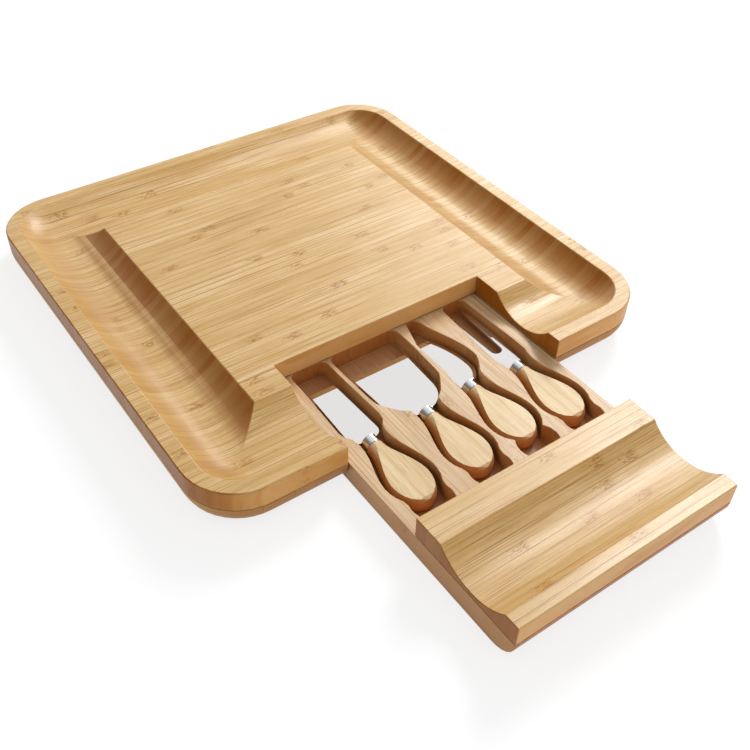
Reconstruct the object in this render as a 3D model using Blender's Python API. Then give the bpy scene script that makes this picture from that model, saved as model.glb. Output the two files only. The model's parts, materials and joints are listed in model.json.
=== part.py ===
"""Square serving board with a moat, a raised platform and a front drawer that holds four knives.

Metres, +Z up. The board stands on Z = 0 with the drawer pulled out towards -Y, as far as it goes.
The origin is under the middle of the whole open object.
"""

import math

import bmesh
import bpy

# Board, seen from above: rim, moat and platform
BOARD_WIDTH = 0.330
BOARD_DEPTH = 0.330
CORNER_RADIUS = 0.036
RIM_WIDTH = 0.010
MOAT_WIDTH = 0.050
MOAT_DEPTH = 0.0114
PLATFORM_STRIP = 0.020
EDGE_EASE = 0.0008

# Board, seen from the side: two layers glued together
TOP_THICKNESS = 0.014
BASE_THICKNESS = 0.0161
BASE_ROUND = 0.0155
GLUE_GAP = 0.0003

# Running gaps of the drawer
DRAWER_SIDE_GAP = 0.0007
DRAWER_TOP_GAP = 0.0004
DRAWER_FLOOR_GAP = 0.0004
DRAWER_BACK_GAP = 0.0005
CAVITY_END_GAP = 0.003

# Drawer walls
LEFT_WALL = 0.0057
RIGHT_WALL = 0.0039
DIVIDER_WALL = 0.00285
REAR_LAND = 0.0127
POCKET_FLOOR = 0.0034
POCKET_CORNER = 0.005
POCKET_END_GAP = 0.0015
POCKET_UNDER_BOARD = 0.0005

# Finger notch at the butt of each knife
NOTCH_RADIUS = 0.0135
NOTCH_SETBACK = 0.0005
BUTT_SETBACK = 0.0016

# Guide pins and the stopped grooves that they run in
PIN_RADIUS = 0.003
PIN_SEAT = 0.012
PIN_PROUD = 0.004
PIN_FIT = 0.0003
GROOVE_CLEARANCE = 0.0005
GROOVE_STOP_GAP = 0.0003

# Knife handle: a turned pear with a flat above and below, as thick as its neck
HANDLE_LENGTH = 0.052
HANDLE_HALF_WIDTH = 0.0133
HANDLE_THICKNESS = 0.0108
HANDLE_ROOM = 0.0032
NECK_ROOM = 0.0043
SEAT_GAP = 0.0003
BUTT_LENGTH_share = 0.34
BUTT_FLAT_share = 0.10

# Ferrule: a steel cup over a spigot of the handle
FERRULE_LENGTH = 0.0065
FERRULE_WALL = 0.0009
FERRULE_FACE = 0.0010
TANG_HOLE_RADIUS = 0.0030

# Blades
BLADE_THICKNESS = 0.0014
EDGE_THICKNESS = 0.0004
TIP_BEVEL = 0.004
SIDE_BEVEL = 0.003
TANG_LENGTH = 0.020
TANG_HALF_WIDTH = 0.0024
TANG_THICKNESS = 0.0010
POCKET_HEEL_LEAD = 0.002
LEAST_BLADE_ROOM = 0.0015

FLAT_LENGTH = 0.0505
FLAT_HEEL_HALF_WIDTH = 0.0107
FLAT_TIP_HALF_WIDTH = 0.0088
FLAT_HEEL_RADIUS = 0.006
FLAT_ROOM = 0.0042

SPADE_LENGTH = 0.0485
SPADE_HEEL_HALF_WIDTH = 0.0183
SPADE_TIP_HALF_WIDTH = 0.0207
SPADE_HEEL_RADIUS = 0.016
SPADE_ROOM = 0.0052

BELLY_LENGTH = 0.0475
BELLY_HALF_WIDTH = 0.0146
BELLY_TIP_HALF_WIDTH = 0.0055
BELLY_HEEL_RADIUS = 0.014
BELLY_ROOM = 0.0032
BELLY_SHIFT = 0.0035
BELLY_BACK_ROOM = 0.0026
BELLY_BACK_CORNER = 0.0015
BELLY_SLANT_START = 0.042
BELLY_SLANT_share = 0.31
BELLY_CURVE_START = 0.018
BELLY_POCKET_END_HALF_WIDTH = 0.0067

FORK_LENGTH = 0.066
FORK_HEEL_HALF_WIDTH = 0.0074
FORK_HALF_WIDTH = 0.0091
FORK_TIP_HALF_WIDTH = 0.0069
FORK_WIDEST_PLACE = 0.042
FORK_HEEL_RADIUS = 0.005
FORK_SLOT_HALF_WIDTH = 0.0042
FORK_SLOT_START = 0.015
FORK_SLOT_SLANT_share = 0.036
FORK_POINT_LENGTH = 0.014
FORK_ROOM = 0.0024
FORK_POCKET_SLANT_shares = {-1: 0.056, 1: 0.035}

# Facets and overruns
CORNER_STEPS = 10
MOAT_STEPS = 12
ROUND_STEPS = 6
EASE_STEPS = 2
TURN_STEPS = 24
NOTCH_STEPS = 8
POCKET_STEPS = 30
PRONG_STEPS = 8
HANDLE_STEPS = 18
HANDLE_ARC_STEPS = 12
CUT_OVERRUN = 0.010
WELD_DISTANCE = 0.000002
SMOOTH_ANGLE = math.radians(35)


def smoothstep(value):
    value = min(max(value, 0), 1)
    return value * value * (3 - 2 * value)


def arc_rise(distance, radius):
    """Height of a circle's quarter above its end, at a distance in from that end."""
    reach = min(max(radius - distance, 0), radius)
    return math.sqrt(radius * radius - reach * reach)


def turns(count, start=0, end=math.pi / 2):
    return [start + (end - start) * step / count for step in range(count + 1)]


# Levels and places that follow from the sizes above

TOP_UNDERSIDE = BASE_THICKNESS + GLUE_GAP
RIM_LEVEL = TOP_UNDERSIDE + TOP_THICKNESS
FRONT_BLOCK_DEPTH = RIM_WIDTH + MOAT_WIDTH + PLATFORM_STRIP
TRAY_THICKNESS = TOP_UNDERSIDE - DRAWER_TOP_GAP - DRAWER_FLOOR_GAP
KNIFE_LEVEL = POCKET_FLOOR + SEAT_GAP + HANDLE_THICKNESS / 2
FERRULE_RADIUS = HANDLE_THICKNESS / 2
NOTCH_CENTRE = FRONT_BLOCK_DEPTH + NOTCH_SETBACK + NOTCH_RADIUS
BUTT_PLACE = NOTCH_CENTRE + BUTT_SETBACK
HEEL_IN_KNIFE = HANDLE_LENGTH + FERRULE_LENGTH + SEAT_GAP


def handle_half_width(place):
    """Half width of the handle seen from above, at a distance from its butt."""
    butt_length = HANDLE_LENGTH * BUTT_LENGTH_share
    if place < butt_length:
        short = 1 - place / butt_length
        flat = BUTT_FLAT_share
        return HANDLE_HALF_WIDTH * math.sqrt(max(1 - short * short, flat * flat))
    along = (HANDLE_LENGTH - place) / (HANDLE_LENGTH - butt_length)
    return FERRULE_RADIUS + (HANDLE_HALF_WIDTH - FERRULE_RADIUS) * smoothstep(along)


class Knife:
    """One knife: its blade's outline, and the pocket that follows it."""

    def __init__(self, name, length, heel_radius, room, shift=0):
        self.name = name
        self.length = length
        self.heel_radius = heel_radius
        self.room = room
        self.butt = BUTT_PLACE + shift
        self.heel = self.butt + HEEL_IN_KNIFE
        self.tip = self.heel + length
        self.centre = 0

    def body_half_width(self, place, side):
        """Half width before the heel is rounded. Side is 1 to the right and -1 to the left."""
        raise NotImplementedError

    def blade_half_width(self, place, side):
        """Half width at a distance from the heel, which is rounded in to the ferrule."""
        width = self.body_half_width(place, side)
        if place < self.heel_radius and width > FERRULE_RADIUS:
            width += arc_rise(place, self.heel_radius) - self.heel_radius
        return max(width, FERRULE_RADIUS)

    def pocket_body_half_width(self, place, side):
        """Half width of the blade's part of the pocket, at a distance from the heel."""
        return self.body_half_width(min(place, self.length), side) + self.room

    def pocket_corner(self, side):
        """Radius of the pocket's rear corner."""
        return POCKET_CORNER

    def pocket_half_width(self, place, side):
        """Half width of the pocket at a distance from the drawer's front face."""
        notch_reach = abs(place - NOTCH_CENTRE)
        width = math.sqrt(max(NOTCH_RADIUS**2 - notch_reach**2, 0))
        along = (place - self.butt) / HANDLE_LENGTH
        neck = FERRULE_RADIUS + NECK_ROOM
        if 0 <= along <= 1:
            room = HANDLE_ROOM + (NECK_ROOM - HANDLE_ROOM) * smoothstep(along)
            width = max(width, handle_half_width(place - self.butt) + room)
        elif along > 1:
            width = max(width, neck)
        if place > self.heel - POCKET_HEEL_LEAD:
            beyond = max(place - self.heel, 0)
            full = self.pocket_body_half_width(max(beyond, self.heel_radius), side)
            shoulder = self.heel_radius + self.room
            rise = smoothstep((place - self.heel + POCKET_HEEL_LEAD) / shoulder)
            width = neck + (full - neck) * rise
            if beyond < self.heel_radius:
                width = max(width, self.blade_half_width(beyond, side) + LEAST_BLADE_ROOM)
        return width


class FlatKnife(Knife):
    def body_half_width(self, place, side):
        taper = FLAT_TIP_HALF_WIDTH - FLAT_HEEL_HALF_WIDTH
        return FLAT_HEEL_HALF_WIDTH + taper * place / self.length


class SpadeKnife(Knife):
    def body_half_width(self, place, side):
        taper = SPADE_TIP_HALF_WIDTH - SPADE_HEEL_HALF_WIDTH
        return SPADE_HEEL_HALF_WIDTH + taper * place / self.length


class BellyKnife(Knife):
    def body_half_width(self, place, side):
        if side < 0:
            return FERRULE_RADIUS
        along = max(place - self.heel_radius, 0) / (self.length - self.heel_radius)
        return BELLY_HALF_WIDTH + (BELLY_TIP_HALF_WIDTH - BELLY_HALF_WIDTH) * along * along

    def pocket_body_half_width(self, place, side):
        if side < 0:
            slant = BELLY_SLANT_share * max(place - BELLY_SLANT_START, 0)
            return FERRULE_RADIUS + BELLY_BACK_ROOM - slant
        full = BELLY_HALF_WIDTH + self.room
        along = smoothstep((place - BELLY_CURVE_START) / self.length)
        return full + (BELLY_POCKET_END_HALF_WIDTH - full) * along

    def pocket_corner(self, side):
        return BELLY_BACK_CORNER if side < 0 else POCKET_CORNER


class Fork(Knife):
    def body_half_width(self, place, side):
        widening = smoothstep(place / FORK_WIDEST_PLACE)
        width = FORK_HEEL_HALF_WIDTH + (FORK_HALF_WIDTH - FORK_HEEL_HALF_WIDTH) * widening
        narrowing = max(place - FORK_WIDEST_PLACE, 0) / (self.length - FORK_WIDEST_PLACE)
        return width + (FORK_TIP_HALF_WIDTH - FORK_HALF_WIDTH) * narrowing * narrowing

    def slot_half_width(self, place):
        """Half width between the prongs, whose inner edges run out to points at the tip."""
        beyond = place - FORK_SLOT_START - FORK_SLOT_HALF_WIDTH
        width = FORK_SLOT_HALF_WIDTH + FORK_SLOT_SLANT_share * beyond
        along = max(place - self.length + FORK_POINT_LENGTH, 0) / FORK_POINT_LENGTH
        return width + (FORK_TIP_HALF_WIDTH - width) * along * along

    def pocket_body_half_width(self, place, side):
        slant = FORK_POCKET_SLANT_shares[side] * max(place - FORK_SLOT_START, 0)
        return FORK_HALF_WIDTH + self.room - slant


FLAT_KNIFE = FlatKnife("flat_knife", FLAT_LENGTH, FLAT_HEEL_RADIUS, FLAT_ROOM)
SPADE_KNIFE = SpadeKnife("spade_knife", SPADE_LENGTH, SPADE_HEEL_RADIUS, SPADE_ROOM)
BELLY_KNIFE = BellyKnife(
    "belly_knife", BELLY_LENGTH, BELLY_HEEL_RADIUS, BELLY_ROOM, BELLY_SHIFT
)
FORK = Fork("fork", FORK_LENGTH, FORK_HEEL_RADIUS, FORK_ROOM)
KNIVES = [FLAT_KNIFE, SPADE_KNIFE, BELLY_KNIFE, FORK]

POCKET_REAR = max(knife.tip for knife in KNIVES) + POCKET_END_GAP
TRAY_LENGTH = POCKET_REAR + REAR_LAND
DRAWER_TRAVEL = POCKET_REAR - POCKET_UNDER_BOARD - DRAWER_BACK_GAP - FRONT_BLOCK_DEPTH
BOARD_CENTRE = DRAWER_TRAVEL / 2
PIN_PLACE = TRAY_LENGTH - REAR_LAND / 2
PIN_LEVEL = TRAY_THICKNESS / 2


def pocket_places():
    """Distances from the drawer's front face at which a pocket's outline is read."""
    rear_start = POCKET_REAR - POCKET_CORNER
    notch = [NOTCH_CENTRE - NOTCH_RADIUS * math.cos(turn) for turn in turns(NOTCH_STEPS)]
    middle = [
        NOTCH_CENTRE + (rear_start - NOTCH_CENTRE) * step / POCKET_STEPS
        for step in range(1, POCKET_STEPS)
    ]
    rear = [rear_start + POCKET_CORNER * math.sin(turn) for turn in turns(ROUND_STEPS)]
    return notch + middle + rear


def pocket_outline(knife):
    """The pocket seen from above, about the knife's own centre line."""
    sides = {}
    for side in (-1, 1):
        corner = knife.pocket_corner(side)
        points = []
        for place in pocket_places():
            width = knife.pocket_half_width(place, side)
            before_rear = POCKET_REAR - place
            if before_rear < corner:
                width += arc_rise(before_rear, corner) - corner
            points.append((side * width, place))
        sides[side] = points
    return sides[1] + sides[-1][:0:-1]


def place_knives():
    """Sets each knife's centre line, and returns the drawer's width."""

    def widest(left, right):
        return max(
            (left.pocket_half_width(place, 1) if left else 0)
            + (right.pocket_half_width(place, -1) if right else 0)
            for place in pocket_places()
        )

    x = LEFT_WALL + widest(None, KNIVES[0])
    KNIVES[0].centre = x
    for left, right in zip(KNIVES, KNIVES[1:]):
        x += widest(left, right) + DIVIDER_WALL
        right.centre = x
    width = x + widest(KNIVES[-1], None) + RIGHT_WALL
    for knife in KNIVES:
        knife.centre -= width / 2
    return width


DRAWER_WIDTH = place_knives()
CAVITY_HALF_WIDTH = DRAWER_WIDTH / 2 + DRAWER_SIDE_GAP
CAVITY_REAR = TRAY_LENGTH + CAVITY_END_GAP - BOARD_DEPTH / 2


# Mesh helpers


def skin(name, rings, closed=False):
    """A mesh from rings of points, one after the other. Its ends are capped, or joined."""
    mesh = bmesh.new()
    rows = [[mesh.verts.new(point) for point in ring] for ring in rings]
    pairs = list(zip(rows, rows[1:]))
    if closed:
        pairs.append((rows[-1], rows[0]))
    else:
        mesh.faces.new(rows[0])
        mesh.faces.new(rows[-1])
    for low, high in pairs:
        for step in range(len(low)):
            following = (step + 1) % len(low)
            mesh.faces.new((low[step], low[following], high[following], high[step]))
    bmesh.ops.remove_doubles(mesh, verts=mesh.verts, dist=WELD_DISTANCE)
    bmesh.ops.dissolve_degenerate(mesh, dist=WELD_DISTANCE, edges=mesh.edges)
    bmesh.ops.recalc_face_normals(mesh, faces=mesh.faces)
    data = bpy.data.meshes.new(name)
    mesh.to_mesh(data)
    mesh.free()
    return data


def prism(name, outline, low, high):
    """An outline in X and Y, raised from one level to another."""
    return skin(name, [[(x, y, z) for x, y in outline] for z in (low, high)])


def sheet(name, profile, half_width):
    """A profile in Y and Z, drawn out to both sides."""
    return skin(name, [[(x, y, z) for y, z in profile] for x in (-half_width, half_width)])


def box(name, low, high):
    corners = [(low[0], low[1]), (high[0], low[1]), (high[0], high[1]), (low[0], high[1])]
    return prism(name, corners, low[2], high[2])


def rounded_rectangle(half_x, half_y, radius, level):
    points = []
    centres = [(1, 1), (-1, 1), (-1, -1), (1, -1)]
    for quarter, (side_x, side_y) in enumerate(centres):
        for turn in turns(CORNER_STEPS, quarter * math.pi / 2, (quarter + 1) * math.pi / 2):
            x = side_x * (half_x - radius) + radius * math.cos(turn)
            y = side_y * (half_y - radius) + radius * math.sin(turn)
            points.append((x, y, level))
    return points


def board_rings(profile):
    """Rings round the board, from pairs of an inset from its edge and a level."""
    return [
        rounded_rectangle(
            BOARD_WIDTH / 2 - inset,
            BOARD_DEPTH / 2 - inset,
            max(CORNER_RADIUS - inset, 0),
            level,
        )
        for inset, level in profile
    ]


def top_profile(level):
    """Inset and level from the outer edge, over the rim and through the moat to the platform."""
    eased = [
        (EDGE_EASE * (1 - math.cos(turn)), level - EDGE_EASE * (1 - math.sin(turn)))
        for turn in turns(EASE_STEPS)
    ]
    half_chord = MOAT_WIDTH / 2
    radius = (half_chord**2 + MOAT_DEPTH**2) / (2 * MOAT_DEPTH)
    half_turn = math.asin(half_chord / radius)
    moat = [
        (
            RIM_WIDTH + half_chord + radius * math.sin(turn),
            level - radius * (math.cos(turn) - math.cos(half_turn)),
        )
        for turn in turns(MOAT_STEPS, -half_turn, half_turn)
    ]
    return eased + moat


def round_profile(radius):
    """Inset and level along the quarter round under an outer edge, from the underside up."""
    return [
        (radius * (1 - math.sin(turn)), radius * (1 - math.cos(turn)))
        for turn in turns(ROUND_STEPS)
    ]


# Objects


def wood(name, colour, roughness=0.5):
    return material(name, colour, roughness, 0)


def material(name, colour, roughness, metallic):
    made = bpy.data.materials.new(name)
    made.use_nodes = True
    shader = made.node_tree.nodes["Principled BSDF"]
    shader.inputs["Base Color"].default_value = (*colour, 1)
    shader.inputs["Roughness"].default_value = roughness
    shader.inputs["Metallic"].default_value = metallic
    made.diffuse_color = (*colour, 1)
    return made


def frame(name, parent, location):
    empty = bpy.data.objects.new(name, None)
    bpy.context.scene.collection.objects.link(empty)
    empty.parent = parent
    empty.location = location
    return empty


def piece(data, parent, finish):
    made = bpy.data.objects.new(data.name, data)
    bpy.context.scene.collection.objects.link(made)
    made.parent = parent
    data.materials.append(finish)
    data.shade_smooth()
    data.set_sharp_from_angle(angle=SMOOTH_ANGLE)
    return made


def cut(target, data, operation="DIFFERENCE"):
    """A Boolean with a hidden cutter that shares the target's parent."""
    cutter = bpy.data.objects.new(data.name, data)
    bpy.context.scene.collection.objects.link(cutter)
    cutter.parent = target.parent
    cutter.hide_render = True
    cutter.display_type = "WIRE"
    modifier = target.modifiers.new(data.name, "BOOLEAN")
    modifier.solver = "EXACT"
    modifier.operation = operation
    modifier.object = cutter


# Board


def make_top_board(board, finish):
    profile = [(0, TOP_UNDERSIDE)] + top_profile(RIM_LEVEL)
    top = piece(skin("top_board", board_rings(profile)), board, finish)
    front = -BOARD_DEPTH / 2
    notch = box(
        "top_board_notch",
        (-CAVITY_HALF_WIDTH, front - CUT_OVERRUN, TOP_UNDERSIDE - CUT_OVERRUN),
        (
            CAVITY_HALF_WIDTH,
            front + FRONT_BLOCK_DEPTH + DRAWER_BACK_GAP,
            RIM_LEVEL + CUT_OVERRUN,
        ),
    )
    cut(top, notch)


def base_blank(name):
    """The whole lower layer, before it is parted into its three pieces."""
    profile = round_profile(BASE_ROUND) + [(0, BASE_THICKNESS)]
    return skin(name, board_rings(profile))


def make_base_side(board, name, side, finish):
    """The lower layer beside the drawer. Side is 1 to the right and -1 to the left."""
    rail = piece(base_blank(name), board, finish)
    inner = side * CAVITY_HALF_WIDTH
    outer = side * (BOARD_WIDTH / 2 + CUT_OVERRUN)
    reach = BOARD_DEPTH / 2 + CUT_OVERRUN
    keep = box(
        name + "_part",
        (min(inner, outer), -reach, -CUT_OVERRUN),
        (max(inner, outer), reach, BASE_THICKNESS + CUT_OVERRUN),
    )
    cut(rail, keep, "INTERSECT")

    pin_open = PIN_PLACE - DRAWER_TRAVEL - BOARD_DEPTH / 2
    pin_closed = PIN_PLACE - BOARD_DEPTH / 2
    half_height = PIN_RADIUS + GROOVE_CLEARANCE
    mouth = side * (CAVITY_HALF_WIDTH - CUT_OVERRUN)
    floor = side * (DRAWER_WIDTH / 2 + PIN_PROUD + GROOVE_CLEARANCE)
    level = DRAWER_FLOOR_GAP + PIN_LEVEL
    groove = box(
        name + "_groove",
        (min(mouth, floor), pin_open - PIN_RADIUS - GROOVE_STOP_GAP, level - half_height),
        (max(mouth, floor), pin_closed + half_height, level + half_height),
    )
    cut(rail, groove)


def make_base_rear(board, finish):
    rear = piece(base_blank("base_rear"), board, finish)
    half_width = CAVITY_HALF_WIDTH - GLUE_GAP
    keep = box(
        "base_rear_part",
        (-half_width, CAVITY_REAR, -CUT_OVERRUN),
        (half_width, BOARD_DEPTH / 2 + CUT_OVERRUN, BASE_THICKNESS + CUT_OVERRUN),
    )
    cut(rear, keep, "INTERSECT")


# Drawer


def rod(name, radius, start, end, place, level):
    """A round bar along X."""
    circle = turns(TURN_STEPS, 0, 2 * math.pi)[:-1]
    return skin(
        name,
        [
            [(x, place + radius * math.cos(a), level + radius * math.sin(a)) for a in circle]
            for x in (start, end)
        ],
    )


def make_tray(drawer, finish):
    front_round = BASE_ROUND - DRAWER_FLOOR_GAP
    profile = round_profile(front_round) + [
        (0, TRAY_THICKNESS),
        (TRAY_LENGTH, TRAY_THICKNESS),
        (TRAY_LENGTH, 0),
    ]
    tray = piece(sheet("drawer_tray", profile, DRAWER_WIDTH / 2), drawer, finish)
    for knife in KNIVES:
        outline = [(x + knife.centre, y) for x, y in pocket_outline(knife)]
        top = TRAY_THICKNESS + CUT_OVERRUN
        cut(tray, prism(knife.name + "_pocket", outline, POCKET_FLOOR, top))
    for name, side in (("left", -1), ("right", 1)):
        start = side * (DRAWER_WIDTH / 2 - PIN_SEAT - PIN_FIT)
        end = side * (DRAWER_WIDTH / 2 + CUT_OVERRUN)
        hole = rod(
            "pin_hole_" + name,
            PIN_RADIUS + PIN_FIT,
            min(start, end),
            max(start, end),
            PIN_PLACE,
            PIN_LEVEL,
        )
        cut(tray, hole)


def make_front_block(drawer, finish):
    """The block that fills the board's notch, with the same rim, moat and platform edge."""
    rim_level = RIM_LEVEL - DRAWER_FLOOR_GAP
    bottom = TRAY_THICKNESS + GLUE_GAP
    profile = [(0, bottom)] + top_profile(rim_level)
    profile += [(FRONT_BLOCK_DEPTH, rim_level), (FRONT_BLOCK_DEPTH, bottom)]
    piece(sheet("drawer_front", profile, DRAWER_WIDTH / 2), drawer, finish)


def make_guide_pin(drawer, name, side, finish):
    start = side * (DRAWER_WIDTH / 2 - PIN_SEAT)
    end = side * (DRAWER_WIDTH / 2 + PIN_PROUD)
    data = rod(name, PIN_RADIUS, min(start, end), max(start, end), PIN_PLACE, PIN_LEVEL)
    piece(data, drawer, finish)


# Knives, each about its own axis: Y runs from the butt to the tip


def handle_ring(radius, place):
    """A circle across the handle, cut flat above and below where it is thicker than the neck."""
    arris = math.asin(min(HANDLE_THICKNESS / 2 / radius, 1))
    return [
        (radius * math.cos(turn), place, radius * math.sin(turn))
        for middle in (0, math.pi)
        for turn in turns(HANDLE_ARC_STEPS, middle - arris, middle + arris)
    ]


def make_handle(parent, name, finish):
    butt_length = HANDLE_LENGTH * BUTT_LENGTH_share
    flat_turn = math.asin(BUTT_FLAT_share)
    butt = [
        butt_length * (1 - math.cos(turn))
        for turn in turns(ROUND_STEPS, flat_turn, math.pi / 2)
    ]
    start = butt[0]
    butt = [place - start for place in butt]
    shaft = [
        butt_length + (HANDLE_LENGTH - butt_length) * step / HANDLE_STEPS
        for step in range(1, HANDLE_STEPS + 1)
    ]
    rings = [handle_ring(handle_half_width(place), place) for place in butt + shaft]
    spigot = FERRULE_RADIUS - FERRULE_WALL - SEAT_GAP
    spigot_end = HANDLE_LENGTH + FERRULE_LENGTH - FERRULE_FACE - SEAT_GAP
    rings += [handle_ring(spigot, place) for place in (HANDLE_LENGTH, spigot_end)]
    handle = piece(skin(name, rings), parent, finish)
    bore_start = HEEL_IN_KNIFE - TANG_LENGTH - SEAT_GAP
    bore = turned(name + "_bore", TANG_HOLE_RADIUS, bore_start, spigot_end + CUT_OVERRUN)
    cut(handle, bore)


def circle_ring(radius, place):
    circle = turns(TURN_STEPS, 0, 2 * math.pi)[:-1]
    return [(radius * math.cos(turn), place, radius * math.sin(turn)) for turn in circle]


def turned(name, radius, start, end):
    return skin(name, [circle_ring(radius, place) for place in (start, end)])


def make_ferrule(parent, name, finish):
    start = HANDLE_LENGTH + SEAT_GAP
    end = HANDLE_LENGTH + FERRULE_LENGTH
    face = end - FERRULE_FACE
    inner = FERRULE_RADIUS - FERRULE_WALL
    loop = [
        (FERRULE_RADIUS, start),
        (FERRULE_RADIUS, end),
        (TANG_HOLE_RADIUS, end),
        (TANG_HOLE_RADIUS, face),
        (inner, face),
        (inner, start),
    ]
    rings = [circle_ring(radius, place) for radius, place in loop]
    piece(skin(name, rings, closed=True), parent, finish)


def blade_places(knife):
    """Distances from the heel at which a blade's outline is read."""
    heel = [knife.heel_radius * (1 - math.cos(turn)) for turn in turns(ROUND_STEPS)]
    body_end = knife.length - TIP_BEVEL
    body = [
        knife.heel_radius + (body_end - knife.heel_radius) * step / ROUND_STEPS
        for step in range(1, ROUND_STEPS + 1)
    ]
    return heel + body + [knife.length]


def blade_ring(left, right, half_thickness, bevel, edge, place):
    """Across a blade: flat, or with a bevel on its right side."""
    shoulder = right - bevel
    return [
        (-left, place, -half_thickness),
        (shoulder, place, -half_thickness),
        (right, place, -edge),
        (right, place, edge),
        (shoulder, place, half_thickness),
        (-left, place, half_thickness),
    ]


def make_blade(parent, knife, finish, bevelled=False):
    """A blade with its tang, thinned to an edge at the tip, and along its right side if asked."""
    half = BLADE_THICKNESS / 2
    tang = TANG_THICKNESS / 2
    tang_bevel = TANG_HALF_WIDTH / 2
    rings = [
        blade_ring(TANG_HALF_WIDTH, TANG_HALF_WIDTH, tang, tang_bevel, tang, place)
        for place in (HEEL_IN_KNIFE - TANG_LENGTH, HEEL_IN_KNIFE)
    ]
    for place in blade_places(knife):
        left = knife.blade_half_width(place, -1)
        right = knife.blade_half_width(place, 1)
        at_tip = place > knife.length - TIP_BEVEL / 2
        thick = EDGE_THICKNESS / 2 if at_tip else half
        edge = EDGE_THICKNESS / 2 if bevelled else thick
        rings.append(
            blade_ring(left, right, thick, SIDE_BEVEL, edge, HEEL_IN_KNIFE + place)
        )
    piece(skin(knife.name + "_blade", rings), parent, finish)


def fork_outline(knife):
    """The right half of the fork seen from above, from its slot round to its heel."""
    slot_centre = FORK_SLOT_START + FORK_SLOT_HALF_WIDTH
    reach = knife.length - slot_centre
    places = [slot_centre + reach * math.sin(turn) for turn in turns(PRONG_STEPS)[:-1]]
    outline = [
        (FORK_SLOT_HALF_WIDTH * math.sin(turn), slot_centre - FORK_SLOT_HALF_WIDTH * math.cos(turn))
        for turn in turns(ROUND_STEPS)[1:]
    ]
    outline += [(knife.slot_half_width(place), place) for place in places[1:]]
    outline.append((FORK_TIP_HALF_WIDTH, knife.length))
    outline += [(knife.body_half_width(place, 1), place) for place in reversed(places)]
    heel = [knife.heel_radius * (1 - math.cos(turn)) for turn in turns(ROUND_STEPS)]
    outline += [(knife.blade_half_width(place, 1), place) for place in reversed(heel)]
    return outline


def make_fork_blade(parent, knife, finish):
    half = BLADE_THICKNESS / 2
    right = fork_outline(knife)
    left = [(-x, place) for x, place in reversed(right)]
    crotch = [(0, FORK_SLOT_START)]
    outline = [(x, HEEL_IN_KNIFE + place) for x, place in crotch + right + left]
    blade = piece(prism(knife.name + "_blade", outline, -half, half), parent, finish)
    tang = box(
        knife.name + "_tang",
        (-TANG_HALF_WIDTH, HEEL_IN_KNIFE - TANG_LENGTH, -TANG_THICKNESS / 2),
        (TANG_HALF_WIDTH, HEEL_IN_KNIFE + FORK_HEEL_RADIUS, TANG_THICKNESS / 2),
    )
    cut(blade, tang, "UNION")


def main():
    for old in list(bpy.data.objects):
        bpy.data.objects.remove(old, do_unlink=True)

    top_wood = wood("bamboo_top", (0.62, 0.41, 0.20))
    base_wood = wood("bamboo_base", (0.45, 0.27, 0.14))
    tray_wood = wood("bamboo_tray", (0.66, 0.46, 0.27))
    pin_wood = wood("pin_wood", (0.60, 0.44, 0.26))
    handle_wood = wood("handle_wood", (0.66, 0.48, 0.26), 0.45)
    steel = material("blade_steel", (0.80, 0.82, 0.84), 0.25, 1)
    bright_steel = material("ferrule_steel", (0.82, 0.84, 0.86), 0.12, 1)

    board = frame("board_frame", None, (0, BOARD_CENTRE, 0))
    make_top_board(board, top_wood)
    make_base_side(board, "base_left", -1, base_wood)
    make_base_side(board, "base_right", 1, base_wood)
    make_base_rear(board, base_wood)

    drawer_front = -BOARD_DEPTH / 2 - DRAWER_TRAVEL
    drawer = frame("drawer_frame", board, (0, drawer_front, DRAWER_FLOOR_GAP))
    make_tray(drawer, tray_wood)
    make_front_block(drawer, top_wood)
    make_guide_pin(drawer, "guide_pin_left", -1, pin_wood)
    make_guide_pin(drawer, "guide_pin_right", 1, pin_wood)

    for knife in KNIVES:
        place = (knife.centre, knife.butt, KNIFE_LEVEL)
        holder = frame(knife.name + "_frame", drawer, place)
        make_handle(holder, knife.name + "_handle", handle_wood)
        make_ferrule(holder, knife.name + "_ferrule", bright_steel)
        if knife is FORK:
            make_fork_blade(holder, knife, steel)
        else:
            make_blade(holder, knife, steel, bevelled=knife is BELLY_KNIFE)


main()
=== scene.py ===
"""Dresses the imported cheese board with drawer: bamboo, beech and steel, lit in a white studio.

Metres, +Z up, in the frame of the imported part, with the drawer pulled out towards -Y.
"""

import json
import math

import bpy
import bmesh
from mathutils import Matrix, Vector

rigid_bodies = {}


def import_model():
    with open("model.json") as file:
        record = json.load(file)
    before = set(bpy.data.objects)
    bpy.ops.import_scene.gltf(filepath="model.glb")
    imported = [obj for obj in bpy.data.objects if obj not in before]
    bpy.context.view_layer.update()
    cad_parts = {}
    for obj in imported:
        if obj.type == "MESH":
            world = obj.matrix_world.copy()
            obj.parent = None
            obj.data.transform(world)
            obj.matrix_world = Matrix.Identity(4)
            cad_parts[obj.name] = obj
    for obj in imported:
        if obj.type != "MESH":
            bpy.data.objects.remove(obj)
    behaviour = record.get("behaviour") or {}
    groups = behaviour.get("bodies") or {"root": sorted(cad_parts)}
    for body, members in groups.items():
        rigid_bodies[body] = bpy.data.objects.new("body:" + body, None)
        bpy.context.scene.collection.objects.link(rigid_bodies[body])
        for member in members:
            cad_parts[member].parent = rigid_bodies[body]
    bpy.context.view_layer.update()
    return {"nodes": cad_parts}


for old in list(bpy.data.objects):
    bpy.data.objects.remove(old, do_unlink=True)
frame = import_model()
nodes = frame["nodes"]


# Lower layer of the board: two side rails and a rear rail of carbonised bamboo, glued under the
# top slab. They are pressed from flat slats that run front to back, so their front face shows
# the slats' ends as bricks. A big quarter round is routed along the outer bottom edge.


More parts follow.
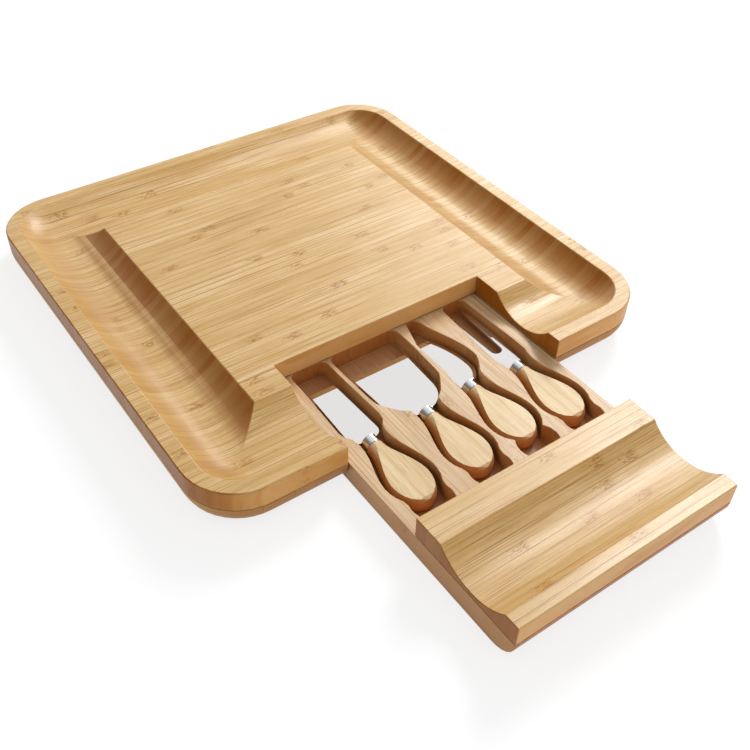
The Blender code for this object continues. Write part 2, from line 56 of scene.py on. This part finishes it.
def linear(code):
    """A colour written as sRGB hex, as the linear values that a shader takes."""
    parts = [int(code[place : place + 2], 16) / 255 for place in (1, 3, 5)]
    return [p / 12.92 if p <= 0.04045 else ((p + 0.055) / 1.055) ** 2.4 for p in parts] + [1]


def put(tree, kind, links=None, stops=None, **settings):
    """Adds a node with its settings, its links or plain values, and its colour stops.

    A socket goes by its name, or by its number where several share a name, such as the values
    0, 1 and 2 of a sum, or the colours 6 and 7 of a mix.
    """
    node = tree.nodes.new(kind)
    for name, value in settings.items():
        setattr(node, name, value)
    for socket, value in (links or {}).items():
        target = node.inputs[socket]
        if isinstance(value, bpy.types.NodeSocket):
            tree.links.new(value, target)
        else:
            target.default_value = value
    if stops:
        ramp = node.color_ramp
        while len(ramp.elements) < len(stops):
            ramp.elements.new(0.5)
        for element, (place, colour) in zip(ramp.elements, stops):
            element.position = place
            element.color = colour
    return node


def pressed_bamboo(name, grain, slat, ply, tones, streak, knot, cut_shaded_and_lit, wall, painted_corner_shade, roughness,
                   routed=0):
    """Laminated bamboo, planed, milled, sanded and oiled. Its slats run along the grain's axis.

    The eye sees slats of slightly different honey tones, fine broken fibre lines along them, a
    faint glue line here and there, and knuckles as clusters of brown dashes. The wood is browner
    where a cutter has gone across the fibres or down beside them. Painted shade darkens cut faces
    turned to the minus side, the floors below the routed level and the inner corners, and the
    paler arrises are partly a painted highlight.
    """
    made = bpy.data.materials.new(name)
    made.use_nodes = True
    tree = made.node_tree
    tree.nodes.clear()
    spot = put(tree, "ShaderNodeTexCoord")
    parts = put(tree, "ShaderNodeSeparateXYZ", {"Vector": spot.outputs["Object"]})
    facing = put(tree, "ShaderNodeSeparateXYZ", {"Vector": spot.outputs["Normal"]})
    along, across = ("X", "Y") if grain == "X" else ("Y", "X")
    along_m, across_m, height_m = (parts.outputs[axis] for axis in (along, across, "Z"))

    # Each pattern's length along the slats, width across them and height, in metres, and its
    # detail. A fibre bundle is 0.3 mm wide and is drawn 0.6 mm wide, or the render would lose it
    grain_sizes = {
        "fibres": (0.070, 0.0006, 0.010, 2),
        "drift": (0.060, 0.0090, 0.020, 2),
        "streaks": (0.060, 0.0007, 0.012, 1),
        "dashes": (0.0030, 0.0006, 0.004, 1),
    }
    seen = {}
    for pattern, (length, width, height, detail) in grain_sizes.items():
        size = (length, width, height) if grain == "X" else (width, length, height)
        stretch = put(tree, "ShaderNodeMapping", {
            "Vector": spot.outputs["Object"], "Scale": [1 / side for side in size]})
        noise = put(tree, "ShaderNodeTexNoise", {
            "Vector": stretch.outputs[0], "Scale": 1, "Detail": detail, "Roughness": 0.6})
        seen[pattern] = put(tree, "ShaderNodeMapRange", {
            "Value": noise.outputs["Fac"], "From Min": 0.33, "From Max": 0.67}).outputs[0]

    # Plies are stacked upwards, each shifted sideways, and a slat has a number within its ply
    ply_shift = 0.37 * slat
    ply_count = put(tree, "ShaderNodeMath", {0: height_m, 1: ply}, operation="DIVIDE")
    ply_number = put(tree, "ShaderNodeMath", {0: ply_count.outputs[0]}, operation="FLOOR")
    shifted = put(tree, "ShaderNodeMath", {0: ply_number.outputs[0], 1: ply_shift, 2: across_m},
                  operation="MULTIPLY_ADD").outputs[0]
    slat_count = put(tree, "ShaderNodeMath", {0: shifted, 1: slat}, operation="DIVIDE")
    slat_number = put(tree, "ShaderNodeMath", {0: slat_count.outputs[0]}, operation="FLOOR")
    slat_id = put(tree, "ShaderNodeCombineXYZ", {
        "X": slat_number.outputs[0], "Y": ply_number.outputs[0]})
    chance = put(tree, "ShaderNodeTexWhiteNoise", {"Vector": slat_id.outputs[0]},
                 noise_dimensions="2D").outputs["Value"]

    # Tone: by slat, by a slow drift along it, and by its fibres, which fade where they are cut
    cut_face = put(tree, "ShaderNodeMath", {0: facing.outputs[along]}, operation="ABSOLUTE")
    fibre_share = put(tree, "ShaderNodeMapRange", {
        "Value": cut_face.outputs[0], "From Min": 0.1, "From Max": 0.6,
        "To Min": 0.42, "To Max": 0.30})
    slat_tone = put(tree, "ShaderNodeMix", {"Factor": 0.35, "A": seen["drift"], "B": chance})
    broken = put(tree, "ShaderNodeMix", {
        "Factor": 0.35, "A": seen["fibres"], "B": seen["dashes"]})
    tone = put(tree, "ShaderNodeMix", {
        "Factor": fibre_share.outputs[0], "A": slat_tone.outputs[0], "B": broken.outputs[0],
    }).outputs[0]
    planed = put(tree, "ShaderNodeValToRGB", {"Fac": tone},
                 stops=list(zip((0.05, 0.5, 0.95), (linear(t) for t in tones))))
    streak_share = put(tree, "ShaderNodeMapRange", {
        "Value": seen["streaks"], "From Min": 0.70, "To Max": 0.65},
        interpolation_type="SMOOTHSTEP")
    streaked = put(tree, "ShaderNodeMix", {
        "Factor": streak_share.outputs[0], 6: planed.outputs[0], 7: linear(streak)},
        data_type="RGBA")

    # Knuckles of the cane, one in 260 mm of a slat: brown dashes, thickest at the middle. Every
    # slat has them at another place
    knuckle_spacing, slat_offset, raggedness, dash_weight = 0.26, 7.31, 0.009, 0.6
    knuckle_start = put(tree, "ShaderNodeMath", {0: chance, 1: slat_offset, 2: along_m},
                        operation="MULTIPLY_ADD")
    ragged = put(tree, "ShaderNodeMath", {
        0: seen["dashes"], 1: raggedness, 2: knuckle_start.outputs[0]}, operation="MULTIPLY_ADD")
    to_knuckle = put(tree, "ShaderNodeMath", {0: ragged.outputs[0], 1: knuckle_spacing / 2},
                     operation="PINGPONG")
    closeness = put(tree, "ShaderNodeMapRange", {
        "Value": to_knuckle.outputs[0], "From Min": 0.001, "From Max": 0.011,
        "To Min": 0.40, "To Max": 0}, interpolation_type="SMOOTHSTEP")
    dashed = put(tree, "ShaderNodeMath", {
        0: seen["dashes"], 1: dash_weight, 2: closeness.outputs[0]}, operation="MULTIPLY_ADD")
    knuckle_share = put(tree, "ShaderNodeMapRange", {
        "Value": dashed.outputs[0], "From Min": 0.53, "From Max": 0.88, "To Max": 0.80},
        interpolation_type="SMOOTHSTEP")
    knuckled = put(tree, "ShaderNodeMix", {
        "Factor": knuckle_share.outputs[0], 6: streaked.outputs[2], 7: linear(knot)},
        data_type="RGBA")

    # A milled face that cuts across the fibres shows the slats' ends, and is browner. Where it is
    # turned to the minus side, away from the lamps, it is darker still: painted shade
    painted_shade_lean = 0.5
    end_grain = put(tree, "ShaderNodeMix", {"Factor": 0.4, "A": chance, "B": tone})
    end_tone = put(tree, "ShaderNodeMapRange", {
        "Value": end_grain.outputs[0], "To Min": 0.22, "To Max": 0.72})
    # Painted shade: the dark end-grain tone goes to faces turned away from the lamps, the pale one
    # to lit faces
    end_grain_and_painted_shade = put(tree, "ShaderNodeMath", {
        0: facing.outputs[along], 1: painted_shade_lean, 2: end_tone.outputs[0]},
        operation="MULTIPLY_ADD")
    cut_tone = put(tree, "ShaderNodeMix", {
        "Factor": end_grain_and_painted_shade.outputs[0], 6: linear(cut_shaded_and_lit[0]), 7: linear(cut_shaded_and_lit[1])}, data_type="RGBA")
    cut_share = put(tree, "ShaderNodeMapRange", {
        "Value": cut_face.outputs[0], "From Min": 0.08, "From Max": 0.40})
    milled = put(tree, "ShaderNodeMix", {
        "Factor": cut_share.outputs[0], 6: knuckled.outputs[2], 7: cut_tone.outputs[2]},
        data_type="RGBA")

    # Glue lines, which fade out 0.5 mm to each side and show between some slats only
    to_joint = put(tree, "ShaderNodeMath", {0: shifted, 1: slat / 2}, operation="PINGPONG")
    joint = put(tree, "ShaderNodeMapRange", {
        "Value": to_joint.outputs[0], "From Min": 0.0001, "From Max": 0.0005,
        "To Min": 1, "To Max": 0}, interpolation_type="SMOOTHSTEP").outputs[0]
    joint_share = put(tree, "ShaderNodeMath", {0: joint, 1: seen["drift"]}, operation="MULTIPLY")
    joined = put(tree, "ShaderNodeMix", {
        "Factor": joint_share.outputs[0], 6: milled.outputs[2], 7: linear(streak)},
        data_type="RGBA")

    # A wall beside the fibres has a tone of its own. A routed floor, down in a pocket, is darkened
    # towards the dark cut tone: painted shade
    level_enough = 0.7
    side_face = put(tree, "ShaderNodeMath", {0: facing.outputs[across]}, operation="ABSOLUTE")
    side_share = put(tree, "ShaderNodeMapRange", {
        "Value": side_face.outputs[0], "From Min": 0.6, "To Max": 0.65})
    walled = put(tree, "ShaderNodeMix", {
        "Factor": side_share.outputs[0], 6: joined.outputs[2], 7: linear(wall)},
        data_type="RGBA")
    floor_face = put(tree, "ShaderNodeMath", {0: facing.outputs["Z"], 1: level_enough},
                     operation="GREATER_THAN")
    pocket_shade_share = put(tree, "ShaderNodeMapRange", {
        "Value": height_m, "From Min": routed - 0.001, "From Max": routed,
        "To Min": 0.7, "To Max": 0})
    # Painted shade on the floors below the routed level
    pocket_floor_shade_share = put(tree, "ShaderNodeMath", {
        0: floor_face.outputs[0], 1: pocket_shade_share.outputs[0]}, operation="MULTIPLY")
    pocket_floors_shaded = put(tree, "ShaderNodeMix", {
        "Factor": pocket_floor_shade_share.outputs[0], 6: walled.outputs[2], 7: linear(cut_shaded_and_lit[0])},
        data_type="RGBA")

    # Arrises are paler, 0.8 mm to each side: wood sanded back, and a painted highlight
    rounded = put(tree, "ShaderNodeBevel", {"Radius": 0.0008}, samples=4)
    true_face = put(tree, "ShaderNodeNewGeometry")
    same_way = put(tree, "ShaderNodeVectorMath", {
        0: rounded.outputs["Normal"], 1: true_face.outputs["Normal"]}, operation="DOT_PRODUCT")
    arris_wear_and_highlight_share = put(tree, "ShaderNodeMapRange", {
        "Value": same_way.outputs["Value"], "From Min": 0.98, "From Max": 0.80,
        "To Min": 0, "To Max": 0.35})
    # Partly sanded-back wood, partly a painted highlight along the arrises
    sanded = put(tree, "ShaderNodeMix", {
        "Factor": arris_wear_and_highlight_share.outputs[0], 6: pocket_floors_shaded.outputs[2], 7: linear(tones[2])},
        data_type="RGBA")

    # Painted shade: the wood is darkened in inner corners, up to 7 mm from them, where shade
    # gathers
    openness = put(tree, "ShaderNodeAmbientOcclusion", {"Distance": 0.007}, samples=6)
    painted_corner_shade_share = put(tree, "ShaderNodeMapRange", {
        "Value": openness.outputs["AO"], "From Min": 0.15, "From Max": 0.70,
        "To Min": 0.65, "To Max": 0})
    # The corner colour mixed in here is painted shade
    corner_shaded = put(tree, "ShaderNodeMix", {
        "Factor": painted_corner_shade_share.outputs[0], 6: sanded.outputs[2], 7: linear(painted_corner_shade)},
        data_type="RGBA")

    # Steep faces are only sanded once, and their open fibres take up the oil, so they shine
    # less. Glue lines lie lower than the slats, by half of the fibres' relief
    joint_depth = -0.5
    steep_face = put(tree, "ShaderNodeMath", {0: cut_face.outputs[0], 1: side_face.outputs[0]},
                     operation="MAXIMUM")
    shine = put(tree, "ShaderNodeMapRange", {
        "Value": steep_face.outputs[0], "From Min": 0.45, "From Max": 0.80,
        "To Min": 0.5, "To Max": 0.2})
    rough = put(tree, "ShaderNodeMapRange", {
        "Value": seen["fibres"], "To Min": roughness - 0.05, "To Max": roughness + 0.07})
    relief = put(tree, "ShaderNodeMath", {0: joint, 1: joint_depth, 2: seen["fibres"]},
                 operation="MULTIPLY_ADD")
    bump = put(tree, "ShaderNodeBump", {
        "Strength": 0.25, "Distance": 0.00012, "Height": relief.outputs[0]})
    shader = put(tree, "ShaderNodeBsdfPrincipled", {
        "Base Color": corner_shaded.outputs[2], "Roughness": rough.outputs[0],
        "IOR": 1.5, "Specular IOR Level": shine.outputs[0], "Normal": bump.outputs[0]})
    put(tree, "ShaderNodeOutputMaterial", {"Surface": shader.outputs[0]})
    return made


def soften(node, width, arris=35):
    """Joins a CAD node's triangles, rounds arrises sharper than an angle, and shades it smooth."""
    piece = nodes[node]
    weld = piece.modifiers.new("join_triangles", "WELD")
    weld.merge_threshold = 0.00002
    flat = piece.modifiers.new("clear_flat_faces", "DECIMATE")
    flat.decimate_type = "DISSOLVE"
    flat.angle_limit = math.radians(0.3)
    smooth = piece.modifiers.new("smooth_shading", "NODES")
    smooth.node_group = smooth_shading
    sanded = piece.modifiers.new("sanded_arrises", "BEVEL")
    sanded.width = width
    sanded.segments = 2
    sanded.limit_method = "ANGLE"
    sanded.angle_limit = math.radians(arris)
    weighted = piece.modifiers.new("flat_faces_stay_flat", "WEIGHTED_NORMAL")
    weighted.keep_sharp = True
    return piece


smooth_shading = bpy.data.node_groups.new("smooth_shading", "GeometryNodeTree")
smooth_shading.interface.new_socket("Geometry", in_out="INPUT", socket_type="NodeSocketGeometry")
smooth_shading.interface.new_socket("Geometry", in_out="OUTPUT", socket_type="NodeSocketGeometry")
given = put(smooth_shading, "NodeGroupInput")
turned_faces = put(smooth_shading, "GeometryNodeSetShadeSmooth", {
    "Geometry": given.outputs[0], "Shade Smooth": True}, domain="FACE")
edge_turn = put(smooth_shading, "GeometryNodeInputMeshEdgeAngle").outputs["Unsigned Angle"]
is_arris = put(smooth_shading, "FunctionNodeCompare", {
    "A": edge_turn, "B": math.radians(35)}, operation="GREATER_THAN")

# Where two runs of the moat meet below a corner of the platform, the cutter left a mitre. It is
# the only edge above the moat's bottom that runs downhill and turns by more than 9 degrees
mitre_turn, mitre_fall, moat_bottom = math.radians(9), 0.0003, 0.0185
edge_ends = put(smooth_shading, "GeometryNodeInputMeshEdgeVertices")
edge_run = put(smooth_shading, "ShaderNodeVectorMath", {
    0: edge_ends.outputs["Position 1"], 1: edge_ends.outputs["Position 2"]}, operation="SUBTRACT")
fall = put(smooth_shading, "ShaderNodeSeparateXYZ", {"Vector": edge_run.outputs[0]})
steepness = put(smooth_shading, "ShaderNodeMath", {0: fall.outputs["Z"]}, operation="ABSOLUTE")
edge_place = put(smooth_shading, "GeometryNodeInputPosition")
level = put(smooth_shading, "ShaderNodeSeparateXYZ", {"Vector": edge_place.outputs[0]})
turns, falls, above_base = (
    put(smooth_shading, "FunctionNodeCompare", {"A": value, "B": least}, operation="GREATER_THAN")
    for value, least in (
        (edge_turn, mitre_turn),
        (steepness.outputs[0], mitre_fall),
        (level.outputs["Z"], moat_bottom),
    )
)
steep_turn = put(smooth_shading, "FunctionNodeBooleanMath", {
    0: turns.outputs[0], 1: falls.outputs[0]}, operation="AND")
is_mitre = put(smooth_shading, "FunctionNodeBooleanMath", {
    0: steep_turn.outputs[0], 1: above_base.outputs[0]}, operation="AND")
kept_edge = put(smooth_shading, "FunctionNodeBooleanMath", {
    0: is_arris.outputs[0], 1: is_mitre.outputs[0]}, operation="OR")
kept_arrises = put(smooth_shading, "GeometryNodeSetShadeSmooth", {
    "Geometry": turned_faces.outputs[0], "Selection": kept_edge.outputs[0],
    "Shade Smooth": False}, domain="EDGE")
put(smooth_shading, "NodeGroupOutput", {0: kept_arrises.outputs[0]})

# Its end-grain tones run from painted shade to lit, and its corner colour is painted shade
base_bamboo = pressed_bamboo(
    "oiled_carbonised_bamboo_flat_pressed", "Y", slat=0.020, ply=0.0054,
    tones=("#a87030", "#cc9a50", "#e2b872"), streak="#96602c", knot="#825226",
    cut_shaded_and_lit=("#b88248", "#e4b878"), wall="#cca05c", painted_corner_shade="#6e4018", roughness=0.46)
for name in ("base_left", "base_right", "base_rear"):
    rail = soften(name, 0.0004)
    rail.material_slots[0].material = base_bamboo


# Top slab of the board: honey bamboo, edge-pressed from slats 5.5 mm wide that run left to right
# and are as tall as the slab. The moat is milled across and along them, so that it cuts their
# fibres at its two ends. Sanded and oiled, with a low sheen.

# Its end-grain tones run from painted shade to lit, and its corner colour is painted shade
top_bamboo = pressed_bamboo(
    "oiled_honey_bamboo_edge_pressed", "X", slat=0.0055, ply=0.05,
    tones=("#c29852", "#d9b274", "#eace9e"), streak="#ac7430", knot="#a4660a",
    cut_shaded_and_lit=("#a4600e", "#cca564"), wall="#e4a458", painted_corner_shade="#7a4314", roughness=0.32)
top = soften("top_board", 0.0005)
top.material_slots[0].material = top_bamboo


# Drawer tray: one bamboo plank with its slats running front to back. It is routed with four
# pockets that follow the knives, and with a fingertip's notch at the butt of each.

# Its end-grain tones run from painted shade to lit, and its corner colour is painted shade
tray_bamboo = pressed_bamboo(
    "oiled_pale_bamboo_routed", "Y", slat=0.0052, ply=0.0080,
    tones=("#c09462", "#d8b68a", "#e6cba4"), streak="#b98750", knot="#a47444",
    cut_shaded_and_lit=("#b06c34", "#e8aa60"), wall="#c4823a", painted_corner_shade="#5c2c0e", roughness=0.36,
    routed=0.006)
tray = soften("drawer_tray", 0.0004)
tray.material_slots[0].material = tray_bamboo


# Drawer front: a block of the top slab's bamboo glued on the tray. It carries the moat, the rim
# and the platform's edge across the drawer, so its slats run left to right too.

front = soften("drawer_front", 0.0005)
front.material_slots[0].material = top_bamboo


# Guide pins: two plain beech dowels in the tray's rear corners, hidden in the rails' grooves.
# They carry the drawer's rear end and stop it at both ends of its travel.


def turned_beech(name, grain, tones, fleck, side, roughness):
    """Beech, turned and sanded, with its grain along an axis, bare or under a satin lacquer.

    The eye sees fine straight grain, thin darker flecks along it, a pinprick here and there,
    sides browner than flats, which is painted shade and a painted reflection of the pocket walls,
    and a tone that changes from one blank to the next.
    """
    made = bpy.data.materials.new(name)
    made.use_nodes = True
    tree = made.node_tree
    tree.nodes.clear()
    spot = put(tree, "ShaderNodeTexCoord")
    parts = put(tree, "ShaderNodeSeparateXYZ", {"Vector": spot.outputs["Object"]})
    facing = put(tree, "ShaderNodeSeparateXYZ", {"Vector": spot.outputs["Normal"]})

    # Each pattern's length along the grain and its width, in metres, and its detail. A ray fleck
    # is 0.1 mm wide and is drawn 0.5 mm wide, or the render would lose it
    grain_sizes = {
        "rings": (0.150, 0.0035, 2),
        "fibres": (0.030, 0.0006, 1),
        "flecks": (0.0110, 0.0005, 0),
        "pricks": (0.0013, 0.0010, 0),
    }
    seen = {}
    for pattern, (length, width, detail) in grain_sizes.items():
        size = (length, width, width) if grain == "X" else (width, length, width)
        stretch = put(tree, "ShaderNodeMapping", {
            "Vector": spot.outputs["Object"], "Scale": [1 / side_m for side_m in size]})
        seen[pattern] = put(tree, "ShaderNodeTexNoise", {
            "Vector": stretch.outputs[0], "Scale": 1, "Detail": detail}).outputs["Fac"]

    # The tone steps every 37 mm across the board, so that each handle lies within a strip of its
    # own, as if turned from a blank of its own
    blank_width, blank_spread = 0.037, 0.12
    blank_count = put(tree, "ShaderNodeMath", {0: parts.outputs["X"], 1: blank_width},
                      operation="DIVIDE")
    blank_number = put(tree, "ShaderNodeMath", {0: blank_count.outputs[0]}, operation="FLOOR")
    blank = put(tree, "ShaderNodeTexWhiteNoise", {"W": blank_number.outputs[0]},
                noise_dimensions="1D").outputs["Value"]
    grain_tone = put(tree, "ShaderNodeMix", {
        "Factor": 0.35, "A": seen["rings"], "B": seen["fibres"]})
    tone = put(tree, "ShaderNodeMath", {0: blank, 1: blank_spread, 2: grain_tone.outputs[0]},
               operation="MULTIPLY_ADD")
    colour = put(tree, "ShaderNodeValToRGB", {"Fac": tone.outputs[0]},
                 stops=list(zip((0.32, 0.55, 0.80), (linear(t) for t in tones))))

    # Flecks and pinpricks lie over the grain. The sides are browner than the flats: painted shade,
    # with a painted reflection of the orange pocket walls
    fleck_share = put(tree, "ShaderNodeMapRange", {
        "Value": seen["flecks"], "From Min": 0.60, "From Max": 0.75, "To Max": 0.5},
        interpolation_type="SMOOTHSTEP")
    prick_share = put(tree, "ShaderNodeMapRange", {
        "Value": seen["pricks"], "From Min": 0.80, "From Max": 0.84, "To Max": 0.8})
    mark_share = put(tree, "ShaderNodeMath", {
        0: fleck_share.outputs[0], 1: prick_share.outputs[0]}, operation="MAXIMUM")
    marked = put(tree, "ShaderNodeMix", {
        "Factor": mark_share.outputs[0], 6: colour.outputs[0], 7: linear(fleck)},
        data_type="RGBA")
    # Painted shade on the sides, with a painted reflection of the orange pocket walls in it
    side_share = put(tree, "ShaderNodeMapRange", {
        "Value": facing.outputs["Z"], "From Min": 0.95, "From Max": 0.50,
        "To Min": 0, "To Max": 0.8})
    side_shaded = put(tree, "ShaderNodeMix", {
        "Factor": side_share.outputs[0], 6: marked.outputs[2], 7: linear(side)},
        data_type="RGBA")

    rough = put(tree, "ShaderNodeMapRange", {
        "Value": seen["fibres"], "From Min": 0.3, "From Max": 0.7,
        "To Min": roughness - 0.04, "To Max": roughness + 0.06})
    bump = put(tree, "ShaderNodeBump", {
        "Strength": 0.15, "Distance": 0.0001, "Height": seen["fibres"]})
    shader = put(tree, "ShaderNodeBsdfPrincipled", {
        "Base Color": side_shaded.outputs[2], "Roughness": rough.outputs[0], "IOR": 1.5,
        "Normal": bump.outputs[0]})
    put(tree, "ShaderNodeOutputMaterial", {"Surface": shader.outputs[0]})
    return made


dowel_wood = turned_beech(
    "bare_turned_beech", "X", tones=("#b98f62", "#c9a174", "#d4b088"), fleck="#9a7046",
    side="#b98f62", roughness=0.55)
for name in ("guide_pin_left", "guide_pin_right"):
    pin = soften(name, 0.0003)
    pin.material_slots[0].material = dowel_wood


# Knife handles: pears turned from pale beech, 52 mm long, with two flats sanded on them 10.8 mm
# apart, and a clear satin lacquer. The neck ends in a spigot inside the steel ferrule.

knives = ("flat_knife", "spade_knife", "belly_knife", "fork")
handle_wood = turned_beech(
    "satin_lacquered_beech", "Y", tones=("#c8a066", "#e4c896", "#eed8b0"), fleck="#b99058",
    side="#bc7228", roughness=0.40)
for knife in knives:
    handle = soften(knife + "_handle", 0.0004, arris=22)
    handle.material_slots[0].material = handle_wood


# Ferrules: drawn stainless steel cups, pressed over the handles' spigots. They are polished to a
# mirror, so that they show the white room and the dark pocket as bright and dark bands.


def polished_steel(name, colour, roughness):
    """Stainless steel, even all over, with a polish that its roughness gives."""
    made = bpy.data.materials.new(name)
    made.use_nodes = True
    shader = made.node_tree.nodes["Principled BSDF"]
    shader.inputs["Base Color"].default_value = linear(colour)
    shader.inputs["Metallic"].default_value = 1
    shader.inputs["Roughness"].default_value = roughness
    return made


ferrule_steel = polished_steel("mirror_polished_stainless_steel", "#d9dadb", 0.08)
for knife in knives:
    ferrule = soften(knife + "_ferrule", 0.0002)
    ferrule.material_slots[0].material = ferrule_steel


# Blades: stainless sheet 1.4 mm thick, blanked to shape, with a tang driven into the handle. The
# fine polish mirrors the white room as one pale grey, with the end of the pocket in it.

blade_steel = polished_steel("satin_polished_stainless_steel", "#e4e2e1", 0.07)
for knife in knives:
    blade = nodes[knife + "_blade"]
    blade.material_slots[0].material = blade_steel


# Studio: a white paper sweep in a white room. A soft lamp to the right and a little behind casts
# the shadows, and two panels near it show only as sheen on the oiled wood and the steel.


def looked_at(tree):
    """The light path of a tree, and 1 where a ray comes from the camera, a mirror or glass."""
    ray = put(tree, "ShaderNodeLightPath")
    seen_or_mirrored = put(tree, "ShaderNodeMath", {
        0: ray.outputs["Is Camera Ray"], 1: ray.outputs["Is Glossy Ray"]}, operation="MAXIMUM")
    looked = put(tree, "ShaderNodeMath", {
        0: seen_or_mirrored.outputs[0], 1: ray.outputs["Is Transmission Ray"]},
        operation="MAXIMUM")
    return ray, looked.outputs[0]


half_side = 3.0
floor_mesh = bmesh.new()
corners = [floor_mesh.verts.new((x * half_side, y * half_side, 0)) for x, y in
           ((-1, -1), (1, -1), (1, 1), (-1, 1))]
floor_mesh.faces.new(corners)
floor_data = bpy.data.meshes.new("studio_floor")
floor_mesh.to_mesh(floor_data)
floor_mesh.free()
floor = bpy.data.objects.new("studio_floor", floor_data)
bpy.context.scene.collection.objects.link(floor)

# The sweep is paper to the object, and mostly a white glow to the eye
glow_share = 0.71
white_sweep = bpy.data.materials.new("matt_white_paper_sweep")
white_sweep.use_nodes = True
tree = white_sweep.node_tree
tree.nodes.clear()
looked = looked_at(tree)[1]
lit_share = put(tree, "ShaderNodeMath", {0: looked, 1: glow_share}, operation="MULTIPLY")
paper = put(tree, "ShaderNodeBsdfDiffuse", {"Color": linear("#f6f6f6")})
glow = put(tree, "ShaderNodeEmission", {"Color": (1, 1, 1, 1), "Strength": 1.1})
mixed = put(tree, "ShaderNodeMixShader", {
    0: lit_share.outputs[0], 1: paper.outputs[0], 2: glow.outputs[0]})
put(tree, "ShaderNodeOutputMaterial", {"Surface": mixed.outputs[0]})
floor_data.materials.append(white_sweep)

# The room is white to the camera. In a mirror it is white to the right and behind, and dim to
# the front left. The light that it sheds comes mostly from the front
bright_wall, lighter_side = (0.8, 0.6, 0), (0.4, -0.9, 0)
world = bpy.data.worlds.new("white_studio")
bpy.context.scene.world = world
world.use_nodes = True
tree = world.node_tree
tree.nodes.clear()
ray, looked = looked_at(tree)
direction = put(tree, "ShaderNodeTexCoord").outputs["Generated"]
to_wall = put(tree, "ShaderNodeVectorMath", {0: direction, 1: bright_wall},
              operation="DOT_PRODUCT")
reflected = put(tree, "ShaderNodeMapRange", {
    "Value": to_wall.outputs["Value"], "From Min": -0.2, "From Max": 0.5,
    "To Min": 0.2, "To Max": 1.0}, interpolation_type="SMOOTHSTEP")
shown = put(tree, "ShaderNodeMath", {
    0: reflected.outputs[0], 1: ray.outputs["Is Camera Ray"]}, operation="MAXIMUM")
to_side = put(tree, "ShaderNodeVectorMath", {0: direction, 1: lighter_side},
              operation="DOT_PRODUCT")
fill = put(tree, "ShaderNodeMapRange", {
    "Value": to_side.outputs["Value"], "From Min": -1, "From Max": 1,
    "To Min": 0.26, "To Max": 0.86})
strength = put(tree, "ShaderNodeMapRange", {
    "Value": looked, "To Min": fill.outputs[0], "To Max": shown.outputs[0]})
room = put(tree, "ShaderNodeBackground", {
    "Color": (1, 1, 1, 1), "Strength": strength.outputs[0]})
put(tree, "ShaderNodeOutputWorld", {"Surface": room.outputs[0]})

# Bearing from the rear towards the right and rise, in degrees, width and height in metres, power
# in watts, and whether the lamp lights surfaces or shows in their gloss
lamps = (
    ("soft_lamp", 62, 37, 0.5, 0.5, 26, "surfaces"),
    ("softbox", 77, 48, 0.8, 0.7, 28, "gloss"),
    ("low_panel", 47, 31, 0.56, 0.36, 6, "gloss"),
)
aim = Vector((0, 0, 0.02))
lamp_distance = 1.9
for name, bearing_deg, rise_deg, width, height, watts, lights in lamps:
    light = bpy.data.lights.new(name, "AREA")
    light.shape = "RECTANGLE"
    light.size = width
    light.size_y = height
    light.energy = watts
    lamp = bpy.data.objects.new(name, light)
    bpy.context.scene.collection.objects.link(lamp)
    bearing, rise = math.radians(bearing_deg), math.radians(rise_deg)
    lamp.location = aim + lamp_distance * Vector((
        math.sin(bearing) * math.cos(rise), math.cos(bearing) * math.cos(rise), math.sin(rise)))
    lamp.rotation_mode = "QUATERNION"
    lamp.rotation_quaternion = (aim - lamp.location).to_track_quat("-Z", "Y")
    lamp.visible_glossy = lights == "gloss"
    lamp.visible_diffuse = lights == "surfaces"


# Camera: the photograph's, fitted to the board's own corners. It has 46 mm of lens on a 36 mm
# sensor, and looks down from beyond the front left corner, tilted by under 2 degrees.

camera_place = Vector((-0.284543, -0.392972, 0.424712))
turn, rise, roll = (math.radians(angle) for angle in (-36.588, 43.149, 1.835))
back = Vector((
    math.sin(turn) * math.cos(rise), -math.cos(turn) * math.cos(rise), math.sin(rise)))
right = Vector((math.cos(turn), math.sin(turn), 0))
up = back.cross(right)
rolled_right = right * math.cos(roll) + up * math.sin(roll)
rolled_up = up * math.cos(roll) - right * math.sin(roll)
camera_data = bpy.data.cameras.new("photo_camera")
camera_data.sensor_width = 36
camera_data.lens = 46.24
camera_data.clip_start = 0.05
camera = bpy.data.objects.new("photo_camera", camera_data)
bpy.context.scene.collection.objects.link(camera)
camera.matrix_world = Matrix((
    (rolled_right.x, rolled_up.x, back.x, camera_place.x),
    (rolled_right.y, rolled_up.y, back.y, camera_place.y),
    (rolled_right.z, rolled_up.z, back.z, camera_place.z),
    (0, 0, 0, 1),
))
bpy.context.scene.camera = camera
bpy.context.scene.view_settings.view_transform = "Standard"
